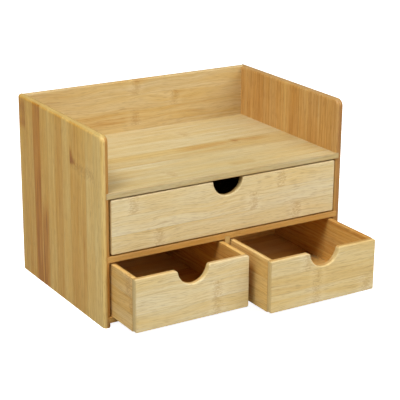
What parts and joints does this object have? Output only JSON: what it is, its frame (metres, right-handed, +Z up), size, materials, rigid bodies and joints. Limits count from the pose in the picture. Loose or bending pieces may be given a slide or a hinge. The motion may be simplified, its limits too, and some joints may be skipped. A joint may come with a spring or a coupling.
{
  "type": "desktop mini drawers",
  "caption": "Desk organizer case with an open rimmed tray over full-width and half-width drawers, which slide out and are pulled by rounded finger notches in their fronts.",
  "frame": {"origin": "on the floor under the case, in the middle of the back panel's rear face", "axes": "+X to the right seen from the front, along the case's width; +Y to the rear, out of the back panel; +Z up"},
  "size_m": [0.33, 0.3045, 0.228],
  "materials": {
    "bamboo_side": "satin lacquered bamboo, grain upright",
    "bamboo_back": "satin lacquered bamboo, grain across",
    "bamboo_shelf": "satin lacquered bamboo, grain across",
    "bamboo_front": "satin lacquered bamboo, grain across",
    "bamboo_drawer_box": "satin lacquered bamboo, grain along the board",
    "bamboo_drawer_bottom": "satin lacquered thin bamboo panel"
  },
  "bodies": {
    "case": {"side_panel_left": "bamboo_side", "side_panel_right": "bamboo_side", "back_panel": "bamboo_back", "top_shelf": "bamboo_shelf", "middle_shelf": "bamboo_shelf", "base_shelf": "bamboo_shelf", "centre_divider": "bamboo_shelf"},
    "wide_drawer": {"wide_drawer_front": "bamboo_front", "wide_drawer_left_side": "bamboo_drawer_box", "wide_drawer_right_side": "bamboo_drawer_box", "wide_drawer_back": "bamboo_drawer_box", "wide_drawer_bottom": "bamboo_drawer_bottom"},
    "left_drawer": {"left_drawer_front": "bamboo_front", "left_drawer_left_side": "bamboo_drawer_box", "left_drawer_right_side": "bamboo_drawer_box", "left_drawer_back": "bamboo_drawer_box", "left_drawer_bottom": "bamboo_drawer_bottom"},
    "right_drawer": {"right_drawer_front": "bamboo_front", "right_drawer_left_side": "bamboo_drawer_box", "right_drawer_right_side": "bamboo_drawer_box", "right_drawer_back": "bamboo_drawer_box", "right_drawer_bottom": "bamboo_drawer_bottom"}
  },
  "joints": [
    {"name": "wide_drawer_slide", "type": "slide", "parent": "case", "child": "wide_drawer", "axis": [0, -1, 0], "range_m": [0, 0.165]},
    {"name": "left_drawer_slide", "type": "slide", "parent": "case", "child": "left_drawer", "axis": [0, -1, 0], "range_m": [-0.055, 0.11]},
    {"name": "right_drawer_slide", "type": "slide", "parent": "case", "child": "right_drawer", "axis": [0, -1, 0], "range_m": [-0.0855, 0.0795]}
  ]
}
